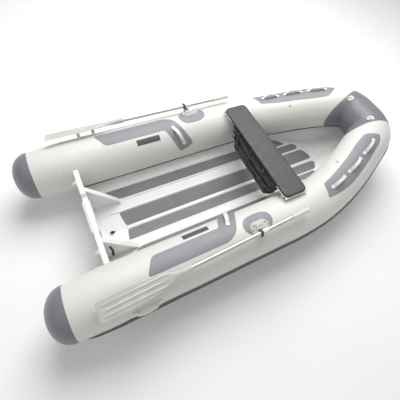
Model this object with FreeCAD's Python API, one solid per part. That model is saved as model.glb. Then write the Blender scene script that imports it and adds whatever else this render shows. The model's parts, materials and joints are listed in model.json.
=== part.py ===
"""Rigid inflatable dinghy: aluminium V-hull, air tubes, bench seat and two stowed oars.

Millimetres. X points to the bow, Y to port, Z up. The origin is on the ground under the keel, at
the middle of the boat's length.
"""
import FreeCAD
import Part
import math
import os

V = FreeCAD.Vector
os.makedirs("parts", exist_ok=True)

# ---------------------------------------------------------------- driving dimensions
TUBE_R = 210.0            # radius of the air tubes
TUBE_WALL = 2.0           # coated fabric
TUBE_Y = 602.0            # centre line of a side tube, from the middle of the boat
TUBE_Z = 326.0            # centre line of a side tube, above the ground
BOW_RISE = 173.0          # how much higher the centre line is at the bow
RISE_X0 = 573.0           # the tube starts to rise here
STERN_X = -1573.0         # seam between the side tube and its end cone
CONE_LENGTH = 140.0
CONE_R = 192.0            # tube radius at that seam
TAPER_X = -1287.0         # the tube narrows aft of this point
BEND_X = 139.0            # the side tube starts to bend inwards here
BEND_R = 2300.0
BEND_ANGLE = math.radians(25.0)
SLANT = 286.0             # straight run after the gentle bend
CORNER_R = 225.0          # sharp bend at the bow
SEAM_X = 1445.0           # a vertical seam plane through here parts the bow panel from the side tube
SEAM_Y = 209.0
SEAM_SKEW = math.radians(13.3)

KEEL_Z = 26.0             # inner side of the hull plate on the keel line
DEADRISE = math.radians(19.6)
PLATE = 4.0               # hull plate, measured vertically
RIM_GAP = 2.0             # glue line between the hull's rim and the tube
KEEL_UP_X = 1050.0        # the keel line starts to rise here
KEEL_UP = 238.0           # and rises by this much to the stem
TRANSOM_X = -1290.0       # aft face
TRANSOM_T = 40.0
SHOULDER_Z = 130.0        # transom top, above the tube's centre line
MOTOR_Z = 98.0            # lowered middle for the outboard motor
MOTOR_HALF = 170.0

SKIN = 1.0                # clearance between a glued-on piece and the tube
PATCH_T = 1.6             # reinforcement patches

LOCK_X = -188.0           # oar's pivot
LOCK_ANGLE = 26.0         # degrees outboard of the tube's crest
OAR_R = 272.0             # oar's axis, from the tube's centre line
ROCK_R = 232.0            # fore-and-aft pin of the oarlock, from the tube's centre line
SHAFT_R = 16.0
GRIP_X0, GRIP_X1 = 92.0, 253.0
BLADE_X0, BLADE_X1 = -1405.0, -794.0
BLADE_HALF = 71.0
STOW_ANGLE = 2.0          # degrees that the stowed blade points outboard

SEAT_X0, SEAT_X1 = 137.0, 358.0
SEAT_HALF = 545.0
SEAT_TOP = 260.0 + TUBE_Z
SEAT_T = 18.0
RAIL_T = 18.0             # aluminium rail under each end of the bench

RING_Y = 188.0            # towing rings on the bow
VALVE_X = 660.0
VALVE_ANGLE = -110.0
DRAIN_X = -1152.0
DRAIN_R = 11.0


# ---------------------------------------------------------------- helpers
def save(name, shape):
    """Write one sub-part."""
    if not shape.isValid():
        shape.fix(0.01, 0.01, 0.01)
    solids = shape.Solids
    shape = solids[0] if len(solids) == 1 else Part.makeCompound(solids)
    shape.exportStep("parts/" + name + ".step")
    print("%-28s %2d solids %10.0f mm3 valid %s" % (name, len(solids), shape.Volume, shape.isValid()))


def mirrored(shape):
    """The same piece on the starboard side."""
    return shape.mirror(V(0, 0, 0), V(0, 1, 0))


def save_pair(stem, port):
    save(stem + "_port", port)
    save(stem + "_starboard", mirrored(port))


def both(port):
    """A port piece and its mirror image, as one group."""
    return Part.makeCompound(port.Solids + mirrored(port).Solids)


def box(x0, x1, y0, y1, z0, z1):
    return Part.makeBox(x1 - x0, y1 - y0, z1 - z0, V(x0, y0, z0))


def prism(points, rise):
    """Closed polygon, extruded along the vector rise."""
    return Part.Face(Part.makePolygon(points + points[:1])).extrude(rise)


def smooth(value):
    value = min(max(value, 0.0), 1.0)
    return value * value * (3.0 - 2.0 * value)


# ---------------------------------------------------------------- tube centre line
RUN_1 = BEND_X - STERN_X
RUN_2 = RUN_1 + BEND_R * BEND_ANGLE
RUN_3 = RUN_2 + SLANT
RUN_4 = RUN_3 + CORNER_R * (math.pi / 2 - BEND_ANGLE)


def plan(s):
    """Plan position and heading of the port centre line, s along it from the stern seam."""
    if s <= RUN_1:
        return STERN_X + s, TUBE_Y, 0.0
    bend = min(s - RUN_1, BEND_R * BEND_ANGLE) / BEND_R
    x = BEND_X + BEND_R * math.sin(bend)
    y = TUBE_Y - BEND_R * (1 - math.cos(bend))
    if s <= RUN_2:
        return x, y, bend
    slant = min(s - RUN_2, SLANT)
    x += slant * math.cos(bend)
    y -= slant * math.sin(bend)
    if s <= RUN_3:
        return x, y, bend
    turn = min(s - RUN_3, RUN_4 - RUN_3) / CORNER_R
    x += CORNER_R * (math.sin(bend + turn) - math.sin(bend))
    y -= CORNER_R * (math.cos(bend) - math.cos(bend + turn))
    if s > RUN_4:
        y -= s - RUN_4
    return x, y, bend + turn


BOW_HALF = plan(RUN_4)[1]
BOW_S = RUN_4 + BOW_HALF
BOW_X = plan(RUN_4)[0]


def centre(s):
    """Point on the centre line, starboard half included (s beyond BOW_S)."""
    side = 1.0
    if s > BOW_S:
        s = 2 * BOW_S - s
        side = -1.0
    x, y, heading = plan(s)
    z = TUBE_Z + BOW_RISE * smooth((x - RISE_X0) / (BOW_X - RISE_X0))
    return V(x, side * y, z)


def radius(s):
    x = centre(s).x
    tail = min(max((TAPER_X - x) / (TAPER_X - STERN_X), 0.0), 1.0)
    return TUBE_R - (TUBE_R - CONE_R) * tail ** 1.3


def axes(s):
    """Tangent, outboard and upward directions of the tube at s."""
    ahead = centre(s + 2.0) - centre(s - 2.0)
    ahead.normalize()
    out = V(-ahead.y, ahead.x, 0)
    out.normalize()
    return ahead, out, ahead.cross(out)


def on_tube(s, angle, lift=0.0):
    """Point lift above the tube's skin, angle in degrees from the crest, positive outboard."""
    ahead, out, up = axes(s)
    turn = math.radians(angle)
    return centre(s) + (up * math.cos(turn) + out * math.sin(turn)) * (radius(s) + lift)


def run_at(x):
    """Distance s along the port centre line where it passes the given x."""
    low, high = 0.0, RUN_4
    while high - low > 0.01:
        mid = (low + high) / 2
        if plan(mid)[0] < x:
            low = mid
        else:
            high = mid
    return low


def run_at_y(y):
    """Distance s where the centre line of the bow passes the given y."""
    low, high = RUN_2, BOW_S
    while high - low > 0.01:
        mid = (low + high) / 2
        if plan(mid)[1] > y:
            low = mid
        else:
            high = mid
    return low


def steps(start, end, count):
    return [start + (end - start) * i / (count - 1.0) for i in range(count)]


def ring(s, r):
    ahead, out, up = axes(s)
    points = [centre(s) + (up * math.cos(a) + out * math.sin(a)) * r
              for a in (0.0, math.pi / 2, math.pi, 3 * math.pi / 2)]
    first = Part.Arc(points[0], points[1], points[2]).toShape()
    second = Part.Arc(points[2], points[3], points[0]).toShape()
    return Part.Wire([first, second])


def tube_shell(runs):
    """Hollow length of air tube through the given stations, open at both ends."""
    outside = Part.makeLoft([ring(s, radius(s)) for s in runs], True, False)
    inside = Part.makeLoft([ring(s, radius(s) - TUBE_WALL) for s in runs], True, False)
    return outside.cut(inside)


def ribbon(runs, angle_0, angle_1, thick, lift=SKIN):
    """Strip that hugs the tube. runs are stations; the angles are functions of 0..1 along it."""
    sections = []
    last = len(runs) - 1.0
    for index, s in enumerate(runs):
        a, b = angle_0(index / last), angle_1(index / last)
        mid = (a + b) / 2
        low = [on_tube(s, t, lift) for t in (a, mid, b)]
        high = [on_tube(s, t, lift + thick) for t in (b, mid, a)]
        sections.append(Part.Wire([
            Part.Arc(*low).toShape(), Part.makeLine(low[2], high[0]),
            Part.Arc(*high).toShape(), Part.makeLine(high[2], low[0])]))
    return Part.makeLoft(sections, True, False)


def across_tube(spine, t):
    """Point on the tube's skin at t along a spine, its normal, and the direction across the spine."""
    s0, w0 = spine(max(t - 0.01, 0.0))
    s1, w1 = spine(min(t + 0.01, 1.0))
    along = on_tube(s1, math.degrees(w1 / TUBE_R)) - on_tube(s0, math.degrees(w0 / TUBE_R))
    s, w = spine(t)
    angle = math.degrees(w / TUBE_R)
    foot = on_tube(s, angle)
    normal = on_tube(s, angle, 10.0) - foot
    normal.normalize()
    across = normal.cross(along)
    across.normalize()
    return foot, normal, across, abs(across.dot(axes(s)[0]))


def leaf(spine, half_width, places, thick, slant=lambda t: 0.0, lift=SKIN):
    """Patch with a curved outline. The spine gives s and the arc length from the crest for 0..1.

    slant leans a section forwards on its outboard side, as a share of its half width.
    """
    sections = []
    for t in places:
        foot, normal, across, lengthwise = across_tube(spine, t)
        reach = half_width(t)
        girth = reach * math.sqrt(max(1.0 - lengthwise * lengthwise, 0.0))
        sag = TUBE_R - math.sqrt(TUBE_R * TUBE_R - girth * girth)
        lean = across + across.cross(normal) * slant(t)
        low = [foot + lean * k * reach + normal * (lift - sag * k * k) for k in (-1, 0, 1)]
        high = [point + normal * thick for point in reversed(low)]
        sections.append(Part.Wire([
            Part.Arc(*low).toShape() if sag > 0.05 else Part.makeLine(low[0], low[2]),
            Part.makeLine(low[2], high[0]),
            Part.Arc(*high).toShape() if sag > 0.05 else Part.makeLine(high[0], high[2]),
            Part.makeLine(high[2], low[0])]))
    return Part.makeLoft(sections, True, False)


def arch(spine, width, height, thick, blunt=0.7):
    """Grab handle: a flat band that rises from the tube between its two glued feet.

    The lower blunt is, the straighter its top and the steeper its ends.
    """
    sections = []
    foot_share = 0.14
    for t in steps(0.0, 1.0, 15):
        foot, normal, across, lengthwise = across_tube(spine, t)
        inner = (t - foot_share) / (1 - 2 * foot_share)
        lift = SKIN + PATCH_T + 0.8
        if 0.0 < inner < 1.0:
            lift += height * math.sin(math.pi * inner) ** blunt
        points = [foot + across * k * width / 2 + normal * (lift + up)
                  for k, up in ((-1, 0), (1, 0), (1, thick), (-1, thick))]
        sections.append(Part.makePolygon(points + points[:1]))
    return Part.makeLoft(sections, True, False)


# ---------------------------------------------------------------- air tubes
def tube_nodes():
    """Side tubes, bow panel, end cones and the baffles between the air chambers."""
    along = V(math.cos(SEAM_SKEW), math.sin(SEAM_SKEW), 0)
    seam = V(SEAM_X, SEAM_Y, -100)
    inner = seam - along * (SEAM_Y / along.y)
    outer = seam + along * 700
    side = prism([V(-2000, 0, -100), inner, outer, V(outer.x, 1500, -100), V(-2000, 1500, -100)],
                 V(0, 0, 1200))
    bow = tube_shell(steps(RUN_3, 2 * BOW_S - RUN_3, 15))
    port = tube_shell(steps(0.0, RUN_1, 9)[:-1] + steps(RUN_1, RUN_3, 10))
    save_pair("tube", port.fuse(bow.common(side)))
    save("tube_bow", bow.cut(side).cut(mirrored(side)))

    profile = []
    for inset in (0.0, TUBE_WALL):
        profile.append([V(STERN_X - (CONE_LENGTH - inset) * math.sin(a), 0,
                          (CONE_R - inset) * math.cos(a) ** 0.85)
                        for a in steps(0.0, math.pi / 2, 9)])
    edges = []
    for points in profile:
        curve = Part.BSplineCurve()
        curve.interpolate(points)
        edges.append(curve.toShape())
    edges.append(Part.makeLine(profile[0][0], profile[1][0]))
    edges.append(Part.makeLine(profile[0][-1], profile[1][-1]))
    cone = Part.Face(Part.Wire(Part.__sortEdges__(edges)))
    cone = cone.revolve(V(0, 0, 0), V(1, 0, 0), 360)
    cone.translate(V(0, TUBE_Y, TUBE_Z))
    save_pair("end_cone", cone)

    inside = TUBE_R - TUBE_WALL
    baffle = Part.makeLoft([ring(run_at(-250), inside - 0.5), ring(run_at(-247), inside - 0.5)], True)
    save("chamber_baffles", both(baffle))


def strake_nodes():
    """Rubbing strake on the outboard side, just below the widest line, in three lengths."""
    low, high = 116.0, 88.0
    joint = RUN_3 - 40.0
    aft = lambda t: high + 12.0 * (1 - smooth(8 * t))
    side = steps(60.0, RUN_1, 9)[:-1] + steps(RUN_1, joint, 10)
    save_pair("strake", ribbon(side, aft, lambda t: low, 12.0, 3.0))
    runs = steps(joint + 1.0, 2 * BOW_S - joint - 1.0, 19)
    save("strake_bow", ribbon(runs, lambda t: high, lambda t: low, 12.0, 5.0))


# ---------------------------------------------------------------- pieces glued on the tubes
def side_spine(t):
    """L-shaped side patch: along the crest, then round a corner and down the inboard side."""
    leg = math.radians(67.3)
    flat, arc, down = 545.0, 85.0 * leg, 248.0
    run = t * (flat + arc + down)
    s = run_at(-1025.0) + min(run, flat)
    if run <= flat:
        return s, 0.0
    turn = min((run - flat) / arc, 1.0) * leg
    s, w = s + 85.0 * math.sin(turn), -85.0 * (1.0 - math.cos(turn))
    straight = max(run - flat - arc, 0.0)
    return s + straight * math.cos(leg), w - straight * math.sin(leg)


def side_patch_nodes():
    places = [0.0, 0.06, 0.12, 0.2, 0.32, 0.44, 0.54, 0.6] + steps(0.6135, 0.7257, 8) + \
        steps(0.7257, 1.0, 8)[1:]
    patch = leaf(side_spine, lambda t: 69.0 + 4.0 * smooth(3 * t - 2), places, PATCH_T,
                 lambda t: -0.53 * (1 - smooth(5 * t)))
    save_pair("side_patch", patch)
    handle = arch(lambda t: (run_at(-396.0) + 70.0 * t, TUBE_R * math.radians(-14.0 - 52.0 * t)),
                  31.0, 30.0, 6.0)
    save_pair("side_handle", handle)
    plate = ribbon(steps(run_at(-740.0), run_at(-534.0), 3), lambda t: -39.5, lambda t: -25.5, 1.5)
    save("rating_plates", both(plate))


def bow_patch_nodes():
    """Grey patch on each bow quarter with three arched grab handles."""
    start, end = run_at(542.0), run_at(1300.0)

    def spine(t):
        return start + (end - start) * t, 38.0 + 9.0 * smooth(2.5 * t) - 17.0 * smooth(1.6 * t - 0.6)

    def half_width(t):
        return 64.0 + 31.0 * smooth(2.5 * t) - 6.0 * smooth(2 * t - 1)

    places = [0.0, 0.05, 0.1, 0.15, 0.2] + steps(0.3, 0.8, 6) + [0.85, 0.9, 0.95, 1.0]
    save_pair("bow_patch", leaf(spine, half_width, places, PATCH_T,
                                lambda t: 0.3 * smooth(5 * t - 4) - 0.4 * (1 - smooth(5 * t))))
    handles = []
    for x, length in ((715.0, 222.0), (960.0, 206.0), (1180.0, 200.0)):
        handles.append(arch(lambda t: (run_at(x) + length * (t - 0.5), 47.0), 31.0, 40.0, 6.0))
    save_pair("bow_handles", Part.makeCompound(handles))


def lifting_handles():
    """Moulded carrying handle low on the outboard side of each tube near the stern."""
    spine = lambda t: (run_at(-1221.0) + 198.0 * t, TUBE_R * math.radians(76.0))
    save_pair("lifting_handle", arch(spine, 34.0, 24.0, 11.0, 0.4))


def ring_nodes():
    """Two towing rings on the bow panel: each swings in the sleeve of its round base."""
    s = run_at_y(RING_Y)
    spot, skin = on_tube(s, -20.0, SKIN), on_tube(s, -20.0, 10.0)
    up = skin - spot
    up.normalize()
    hinge = spot + up * 11.0
    across = V(0, 1, 0).cross(up)
    across = up.cross(across)
    across.normalize()
    base = Part.makeCylinder(27.0, 4.0, spot + up * 1.5, up)
    sleeve = Part.makeCylinder(6.5, 20.0, hinge - across * 10.0, across)
    base = base.fuse(sleeve).fuse(Part.makeCylinder(6.0, 6.0, spot + up * 3.0, up))
    base = base.cut(Part.makeCylinder(3.3, 60.0, hinge - across * 30.0, across))
    save("bow_ring_bases", both(base))
    lie = up.cross(across)
    if lie.x > 0:
        lie = lie * -1.0
    a, b = hinge - across * 17.0, hinge + across * 17.0
    wire_r = 3.2
    pieces = [Part.makeCylinder(wire_r, 34.0, a, across), Part.makeCylinder(wire_r, 30.0, b, lie),
              Part.makeCylinder(wire_r, 30.0, a, lie)]
    end = Part.Face(Part.Wire(Part.makeCircle(wire_r, b + lie * 30.0, lie)))
    pieces.append(end.revolve(hinge + lie * 30.0, lie.cross(across * -1.0), 180))
    pieces += [Part.makeSphere(wire_r, p) for p in (a, b)]
    ring_solid = pieces[0]
    for piece in pieces[1:]:
        ring_solid = ring_solid.fuse(piece)
    save_pair("bow_ring", ring_solid)


def lashing_eyes():
    """Small eyelets inside the bow quarters, one high and one low on each side."""
    eyes = []
    for x, angle in ((900.0, -26.0), (1238.0, -117.0)):
        s = run_at(x)
        foot = on_tube(s, angle, SKIN)
        up = on_tube(s, angle, 10.0) - foot
        up.normalize()
        eye = Part.makeCylinder(13.0, 3.0, foot + up * 0.6, up)
        loop = Part.makeTorus(8.0, 2.2, foot + up * 10.5, V(up.y, -up.x, 0))
        eyes.append(eye.fuse(loop))
    save("lashing_eyes", both(Part.makeCompound(eyes)))


def valve_nodes():
    """Air valves on the inboard side; each has a quarter-turn cap."""
    s = run_at(VALVE_X)
    foot = on_tube(s, VALVE_ANGLE, SKIN)
    up = on_tube(s, VALVE_ANGLE, 10.0) - foot
    up.normalize()
    body = Part.makeCylinder(29.0, 4.0, foot + up * 0.5, up)
    body = body.fuse(Part.makeCylinder(17.0, 8.0, foot + up * 0.5, up))
    body = body.cut(Part.makeCylinder(12.0, 12.0, foot + up * 0.2, up))
    body = body.fuse(Part.makeCylinder(5.0, 3.0, foot + up * 0.5, up)).fuse(spokes(foot + up * 0.5, up))
    save("valve_bodies", both(body))
    cap = Part.makeCylinder(22.0, 9.0, foot + up * 5.0, up)
    cap = cap.cut(Part.makeCylinder(17.4, 4.0, foot + up * 4.8, up))
    grip = Part.makeBox(34.0, 6.0, 5.0)
    grip.translate(V(-17.0, -3.0, 0.0))
    grip.Placement = FreeCAD.Placement(foot + up * 13.5, FreeCAD.Rotation(V(0, 0, 1), up)).multiply(
        grip.Placement)
    save_pair("valve_cap", cap.fuse(grip))


def spokes(foot, up):
    """Cross bars that carry the valve's spring stem."""
    bars = []
    for turn in (0.0, 90.0):
        bar = Part.makeBox(25.0, 3.0, 3.0)
        bar.translate(V(-12.5, -1.5, 0.0))
        bar.rotate(V(0, 0, 0), V(0, 0, 1), turn)
        bars.append(bar)
    cross = bars[0].fuse(bars[1])
    cross.Placement = FreeCAD.Placement(foot, FreeCAD.Rotation(V(0, 0, 1), up))
    return cross


# ---------------------------------------------------------------- hull
def keel_z(x):
    rise = max(x - KEEL_UP_X, 0.0) / (BOW_X - 54.0 - KEEL_UP_X)
    return KEEL_Z + KEEL_UP * rise ** 1.3


def rim(s):
    """Where the hull plate meets the tube: on its lower inboard side, nearly below it at the bow."""
    angle = -(132.0 + 33.0 * smooth((s - run_at(400.0)) / (RUN_3 - run_at(400.0))))
    return on_tube(s, angle, RIM_GAP)


def hull_section(s):
    """Half section: keel, chine and rim, in order from the middle outwards."""
    edge = rim(s)
    x = edge.x
    keel = V(x, 0, keel_z(x))
    chine_y = edge.y * (0.93 - 0.25 * smooth((x - 600.0) / 600.0))
    chine_z = keel.z + chine_y * math.tan(DEADRISE) * (1 - 0.35 * smooth((x - KEEL_UP_X) / 350.0))
    return keel, V(x, chine_y, min(chine_z, edge.z - 4.0)), edge


def hull_stations():
    """Stations of the hull's sections, one of them where the keel line starts to rise."""
    low, high = RUN_1, RUN_3
    while high - low > 0.01:
        mid = (low + high) / 2
        if rim(mid).x < KEEL_UP_X:
            low = mid
        else:
            high = mid
    return [run_at(TRANSOM_X)] + steps(run_at(-1100.0), RUN_1, 5)[:-1] + \
        steps(RUN_1, low, 9)[:-1] + steps(low, RUN_3, 4)[:-1] + steps(RUN_3, RUN_4, 7)


def hull_nodes():
    sections = []
    for s in hull_stations():
        keel, chine, edge = hull_section(s)
        inner = [edge, chine, keel, V(chine.x, -chine.y, chine.z), V(edge.x, -edge.y, edge.z)]
        outer = [V(edge.x, -edge.y - 3, edge.z - 1), V(chine.x, -chine.y - 1, chine.z - PLATE),
                 keel - V(0, 0, PLATE + 0.3), V(chine.x, chine.y + 1, chine.z - PLATE),
                 V(edge.x, edge.y + 3, edge.z - 1)]
        points = inner + outer
        sections.append(Part.makePolygon(points + points[:1]))
    hull = Part.makeLoft(sections, True, True)
    drain = Part.makeCylinder(DRAIN_R + 6.0, 60.0, V(DRAIN_X, 0, -10), V(0, 0, 1))
    save("hull_plate", hull.cut(drain).cut(stern_clear()))

    guard = []
    for x in [-1250.0] + [rim(s).x for s in hull_stations()[1:-2]]:
        top = keel_z(x) - PLATE - 2.0
        low = top - (KEEL_Z - PLATE - 2.0)
        guard.append(Part.makePolygon([V(x, -17, low), V(x, 17, low), V(x, 13, top), V(x, -13, top),
                                       V(x, -17, low)]))
    guard = Part.makeLoft(guard, True, True)
    save("keel_guard", guard.cut(Part.makeCylinder(DRAIN_R, 80.0, V(DRAIN_X, 0, -20), V(0, 0, 1))))


def stern_clear():
    return box(-1400, TRANSOM_X, -700, 700, 0, 700)


def on_floor(shape):
    """Lay a flat piece, made on the ground plane, on the port side of the V-shaped floor."""
    shape.rotate(V(0, 0, 0), V(1, 0, 0), math.degrees(DEADRISE))
    shape.translate(V(0, 0, KEEL_Z))
    return shape


def pad(outline):
    """Anti-slip pad with rounded corners; y is measured along the floor from the keel line."""
    points = [V(x, y, 0.2) for x, y in outline]
    wire = Part.makePolygon(points + points[:1])
    plate = Part.Face(wire).extrude(V(0, 0, 3.0))
    upright = [e for e in plate.Edges if abs(e.tangentAt(e.FirstParameter).z) > 0.9]
    return on_floor(plate.makeFillet(12.0, upright))


def floor_nodes():
    """Anti-slip pads on the V floor and the raised ribs between them."""
    save("floor_pads_inner", both(pad([(-1030, 22), (-1053, 150), (965, 150), (1000, 110), (1040, 45),
                                      (1020, 22)])))
    save("floor_pads_outer", both(pad([(-998, 268), (-1110, 360), (640, 360), (725, 335),
                                       (805, 268)])))
    save("floor_pads_bow", both(pad([(420, 174), (420, 246), (885, 246), (935, 210), (925, 174)])))
    ribs = []
    for y, aft, fore in ((162.0, -1150.0, 1010.0), (258.0, -995.0, 905.0), (372.0, -1120.0, 560.0)):
        rib = Part.makePolygon([V(aft, y - 8, 0.2), V(aft, y + 8, 0.2), V(aft, y + 5, 8.0),
                                V(aft, y - 5, 8.0), V(aft, y - 8, 0.2)])
        ribs.append(on_floor(Part.Face(rib).extrude(V(fore - aft, 0, 0))))
    save("floor_ribs", both(Part.makeCompound(ribs)))
    low = KEEL_Z + 15.0 * math.tan(DEADRISE) + 0.3
    save("keelson", prism([V(-1030, -15, low), V(-1030, 0, KEEL_Z + 0.3), V(-1030, 15, low),
                           V(-1030, 11, low + 7), V(-1030, -11, low + 7)], V(2060, 0, 0)))


def drain_nodes():
    """Drain through the keel line, closed by a push-in plug with a cross handle."""
    top = KEEL_Z + 12.0
    socket = Part.makeCylinder(DRAIN_R + 5.5, top - 22.0, V(DRAIN_X, 0, 22.0))
    socket = socket.fuse(Part.makeCylinder(DRAIN_R + 13.0, 4.0, V(DRAIN_X, 0, top)))
    socket = socket.cut(Part.makeCylinder(DRAIN_R, 60.0, V(DRAIN_X, 0, 0)))
    save("drain_socket", socket)
    plug = Part.makeCylinder(DRAIN_R - 0.05, 14.0, V(DRAIN_X, 0, top - 10.0))
    plug = plug.fuse(Part.makeCylinder(15.0, 8.0, V(DRAIN_X, 0, top + 4.0)))
    plug = plug.fuse(box(DRAIN_X - 22, DRAIN_X + 22, -4, 4, top + 10.0, top + 19.0))
    save("drain_plug", plug)


def half_board(inset):
    """Port half of the transom's box; inset moves every face inwards by that much."""
    fit = TUBE_R + 2.5 + inset
    x = TRANSOM_X + inset
    top, cut = SHOULDER_Z - inset, MOTOR_Z - inset

    def edge(z):
        return TUBE_Y - math.sqrt(fit * fit - z * z)

    shoulder = V(x, edge(top), TUBE_Z + top)
    foot = V(x, edge(-140.0), TUBE_Z - 140.0 + inset)
    keel = V(x, 0, KEEL_Z + 1.5 + 1.07 * inset)
    lines = [Part.Arc(foot, V(x, TUBE_Y - fit, TUBE_Z), shoulder).toShape()]
    corners = [shoulder, V(x, MOTOR_HALF + 20 + inset, TUBE_Z + top),
               V(x, MOTOR_HALF + inset, TUBE_Z + cut), V(x, 0, TUBE_Z + cut), keel, foot]
    lines += [Part.makeLine(a, b) for a, b in zip(corners, corners[1:])]
    return Part.Face(Part.Wire(Part.__sortEdges__(lines))).extrude(V(TRANSOM_T - 2 * inset, 0, 0))


def transom_nodes():
    """Welded transom box, its motor pads, the two knees and the tow eyes."""
    front = TRANSOM_X + TRANSOM_T
    outside, inside = [half.fuse(mirrored(half)) for half in (half_board(0.0), half_board(4.0))]
    save("transom", outside.removeSplitter().cut(inside))

    low = TUBE_Z - 60.0
    for name, x, thick in (("motor_pad_outer", TRANSOM_X - 10.0, 10.0), ("motor_pad_inner", front, 8.0)):
        plate = box(x, x + thick, -150, 150, low, TUBE_Z + MOTOR_Z - 4.0)
        corners = [e for e in plate.Edges if abs(e.tangentAt(e.FirstParameter).x) > 0.9]
        save(name, plate.makeFillet(22.0, corners))

    y = 238.0
    reach = 242.0
    low, high = KEEL_Z + 70.0, TUBE_Z + 112.0
    foot = KEEL_Z + y * math.tan(DEADRISE) + 4.5
    web = prism([V(front, y, high), V(front, y, low), V(front + reach, y, low),
                 V(front + reach, y, foot)], V(0, 5, 0))
    flange = Part.makeBox(math.hypot(reach, high - foot), 42.0, 4.0)
    flange.rotate(V(0, 0, 0), V(0, 1, 0), math.degrees(math.atan2(high - foot, reach)))
    flange.translate(V(front, y - 22.5, high))
    knee = web.fuse(flange).cut(box(front - 60, front, 0, 400, 0, 700))
    save_pair("transom_knee", knee.cut(on_floor(box(front - 60, front + 400, 100, 500, -200, 0.4))))

    plate = box(TRANSOM_X - 5, TRANSOM_X, 298, 338, TUBE_Z + 80, TUBE_Z + 124)
    bar = Part.makeTorus(17.0, 5.0, V(TRANSOM_X - 16, 318, TUBE_Z + 104), V(0, 1, 0))
    bar = bar.cut(box(TRANSOM_X - 5, TRANSOM_X + 60, 200, 400, 0, 700))
    save("tow_eyes", both(plate.fuse(bar)))


# ---------------------------------------------------------------- oars and locks
def lock_frame(shape):
    """From the lock's own axes (X along the oar, Z away from the tube) to the boat's."""
    shape.Placement = FreeCAD.Placement(V(0, TUBE_Y, TUBE_Z),
                                        FreeCAD.Rotation(V(1, 0, 0), -LOCK_ANGLE)).multiply(shape.Placement)
    return shape


def oval(length, width, z, centre_x, centre_y):
    """Flat oval outline: two straight sides and two round ends."""
    r = width / 2.0
    h = length / 2.0 - r
    a, b = V(centre_x - h, centre_y - r, z), V(centre_x + h, centre_y - r, z)
    c, d = V(centre_x + h, centre_y + r, z), V(centre_x - h, centre_y + r, z)
    return Part.Wire([Part.makeLine(a, b), Part.Arc(b, V(centre_x + h + r, centre_y, z), c).toShape(),
                      Part.makeLine(c, d), Part.Arc(d, V(centre_x - h - r, centre_y, z), a).toShape()])


def lock_nodes():
    s = run_at(LOCK_X + 18.0)

    def width(t):
        return 12.0 + 70.0 * math.sqrt(max(1.0 - (2 * t - 1) ** 4, 0.0))

    patch = leaf(lambda t: (s - 125.0 + 250.0 * t, 18.0), width, steps(0.0, 1.0, 15), PATCH_T)
    save("lock_patches", both(patch))

    # local frame: z is the distance from the tube's centre line
    skin = TUBE_R + SKIN + PATCH_T + 0.3
    base = Part.makeLoft([oval(176, 112, TUBE_R - 16, LOCK_X + 14, -34),
                          oval(160, 94, skin + 9.0, LOCK_X + 14, -34)], True)
    base = base.cut(Part.makeCylinder(skin, 400, V(LOCK_X - 200, 0, 0), V(1, 0, 0)))
    block = box(LOCK_X - 22, LOCK_X + 46, -70, -26, skin + 5, skin + 22)
    block = block.cut(box(LOCK_X - 8, LOCK_X + 32, -51, -45, skin + 14, skin + 30))
    ears = []
    for x in (LOCK_X - 24, LOCK_X + 12):
        ear = box(x, x + 12, -14, 14, skin + 4, ROCK_R)
        ears.append(ear.fuse(Part.makeCylinder(8.5, 12, V(x, 0, ROCK_R), V(1, 0, 0))))
    base = base.multiFuse([block] + ears)
    base = base.cut(Part.makeCylinder(4.05, 120, V(LOCK_X - 60, 0, ROCK_R), V(1, 0, 0)))
    base = base.cut(box(LOCK_X - 12, LOCK_X + 12, -12, 12, ROCK_R - 10, ROCK_R + 40))
    save_pair("lock_base", lock_frame(base))

    yoke = Part.makeCylinder(8.0, 23.4, V(LOCK_X - 11.7, 0, ROCK_R), V(1, 0, 0))
    yoke = yoke.fuse(Part.makeCylinder(4.0, 56, V(LOCK_X - 28, 0, ROCK_R), V(1, 0, 0)))
    yoke = yoke.fuse(Part.makeCylinder(9.5, 4.0, V(LOCK_X, 0, ROCK_R + 6.0)))
    yoke = yoke.fuse(Part.makeCylinder(5.0, 14.0, V(LOCK_X, 0, ROCK_R + 6.0)))
    save_pair("lock_yoke", lock_frame(yoke))

    rests = [box(-1168, -1042, -7, 7, TUBE_R + SKIN + 0.4, TUBE_R + 11)]
    for x in (-1172.0, -1054.0):
        post = box(x, x + 24, -14, 14, TUBE_R - 6, TUBE_R + 26)
        rests.append(post.fuse(box(x, x + 24, -10, 10, TUBE_R + 20, OAR_R - 13.5)))
    rest = rests[0].multiFuse(rests[1:])
    rest = rest.cut(Part.makeCylinder(TUBE_R + SKIN, 400, V(-1300, 0, 0), V(1, 0, 0)))
    save("blade_rests", both(lock_frame(rest)))


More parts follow.
